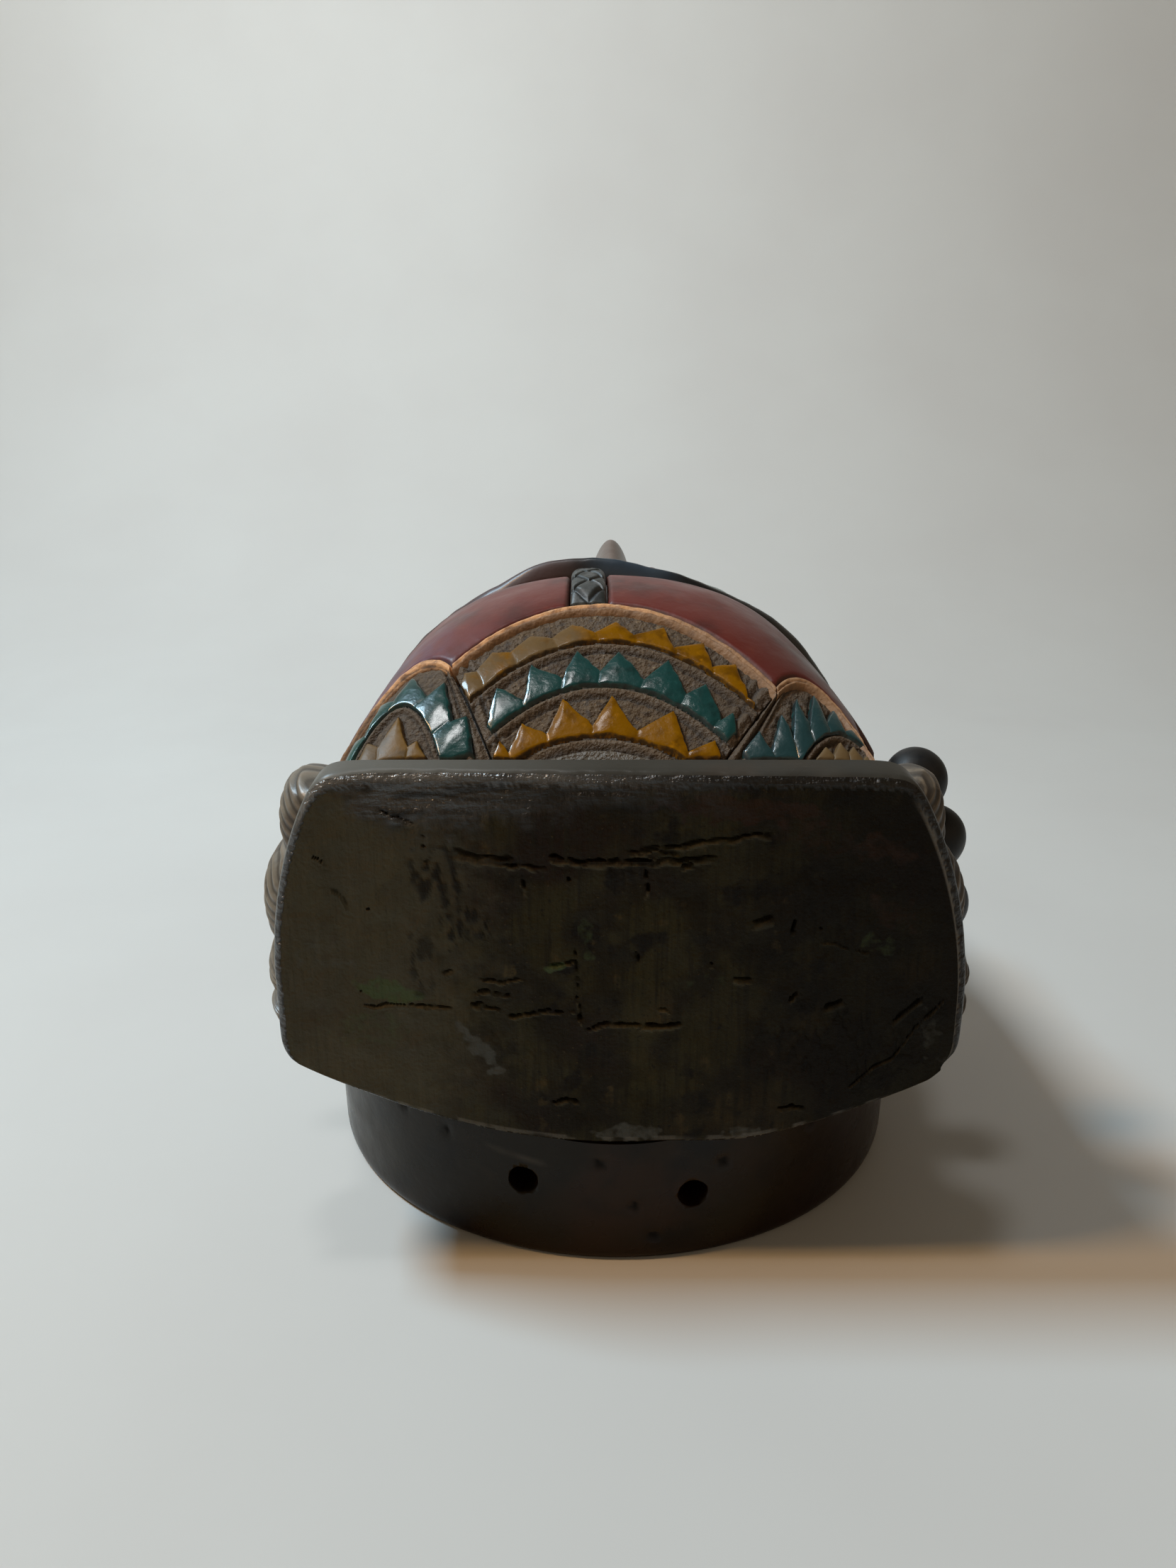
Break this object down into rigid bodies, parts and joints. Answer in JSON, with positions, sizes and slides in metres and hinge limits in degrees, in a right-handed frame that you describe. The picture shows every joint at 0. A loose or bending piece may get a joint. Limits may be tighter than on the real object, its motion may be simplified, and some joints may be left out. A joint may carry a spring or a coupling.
{
  "type": "carved wooden mask",
  "caption": "Carved and lacquered wooden face mask with a domed fan-carved headdress, hollow behind, with drilled crown holes for a hanging cord and a flat back rim.",
  "frame": {"origin": "centre of the bounding box at the flat back rim, which lies on the floor", "axes": "+Z out of the face, +Y from the crown face to the chin, +X to the right seen from the crown end"},
  "size_m": [0.197, 0.26, 0.1717],
  "materials": {
    "dark_wood": "dark stained carved wood, worn and waxed",
    "dowel_wood": "bare wood",
    "fan_ground": "matte chipped brown ground",
    "bare_edge": "worn salmon bare wood edge",
    "mustard_lacquer": "glossy lacquer",
    "teal_lacquer": "glossy lacquer",
    "red_lacquer": "smooth dark red lacquer",
    "strip_paint": "grey-blue paint with cross-hatching",
    "black_lacquer": "smooth black lacquer",
    "braid_paint": "grey-brown worn paint",
    "brow_paint": "dark lacquer",
    "eye_paint": "cream lacquer with dark pupil",
    "nose_paint": "worn brown lacquer",
    "feature_red": "red lacquer",
    "green_lacquer": "green lacquer"
  },
  "bodies": {
    "root": {"face_shell": "dark_wood", "crown_wall": "dark_wood", "headdress_block": "dark_wood", "joint_dowels": "dowel_wood", "fan_center_ground": "fan_ground", "fan_left_ground": "fan_ground", "fan_right_ground": "fan_ground", "fan_center_edge": "bare_edge", "fan_left_edge": "bare_edge", "fan_right_edge": "bare_edge", "fan_center_outer_rays": "mustard_lacquer", "fan_center_inner_rays": "mustard_lacquer", "fan_left_inner_rays": "mustard_lacquer", "fan_right_inner_rays": "mustard_lacquer", "fan_center_middle_rays": "teal_lacquer", "fan_left_outer_rays": "teal_lacquer", "fan_right_outer_rays": "teal_lacquer", "crown_panel_left": "red_lacquer", "crown_panel_right": "red_lacquer", "crown_strip": "strip_paint", "hood_trim": "black_lacquer", "side_knobs_left": "black_lacquer", "side_knobs_right": "black_lacquer", "side_braid_left": "braid_paint", "side_braid_right": "braid_paint", "brow_left": "brow_paint", "brow_right": "brow_paint", "upper_lid_left": "brow_paint", "upper_lid_right": "brow_paint", "lower_lid_left": "brow_paint", "lower_lid_right": "brow_paint", "eye_left": "eye_paint", "eye_right": "eye_paint", "nose": "nose_paint", "nostril_left": "feature_red", "nostril_right": "feature_red", "upper_lip": "feature_red", "lower_lip": "feature_red", "chin_boss": "feature_red", "cheek_left": "green_lacquer", "cheek_right": "green_lacquer"}
  },
  "joints": []
}
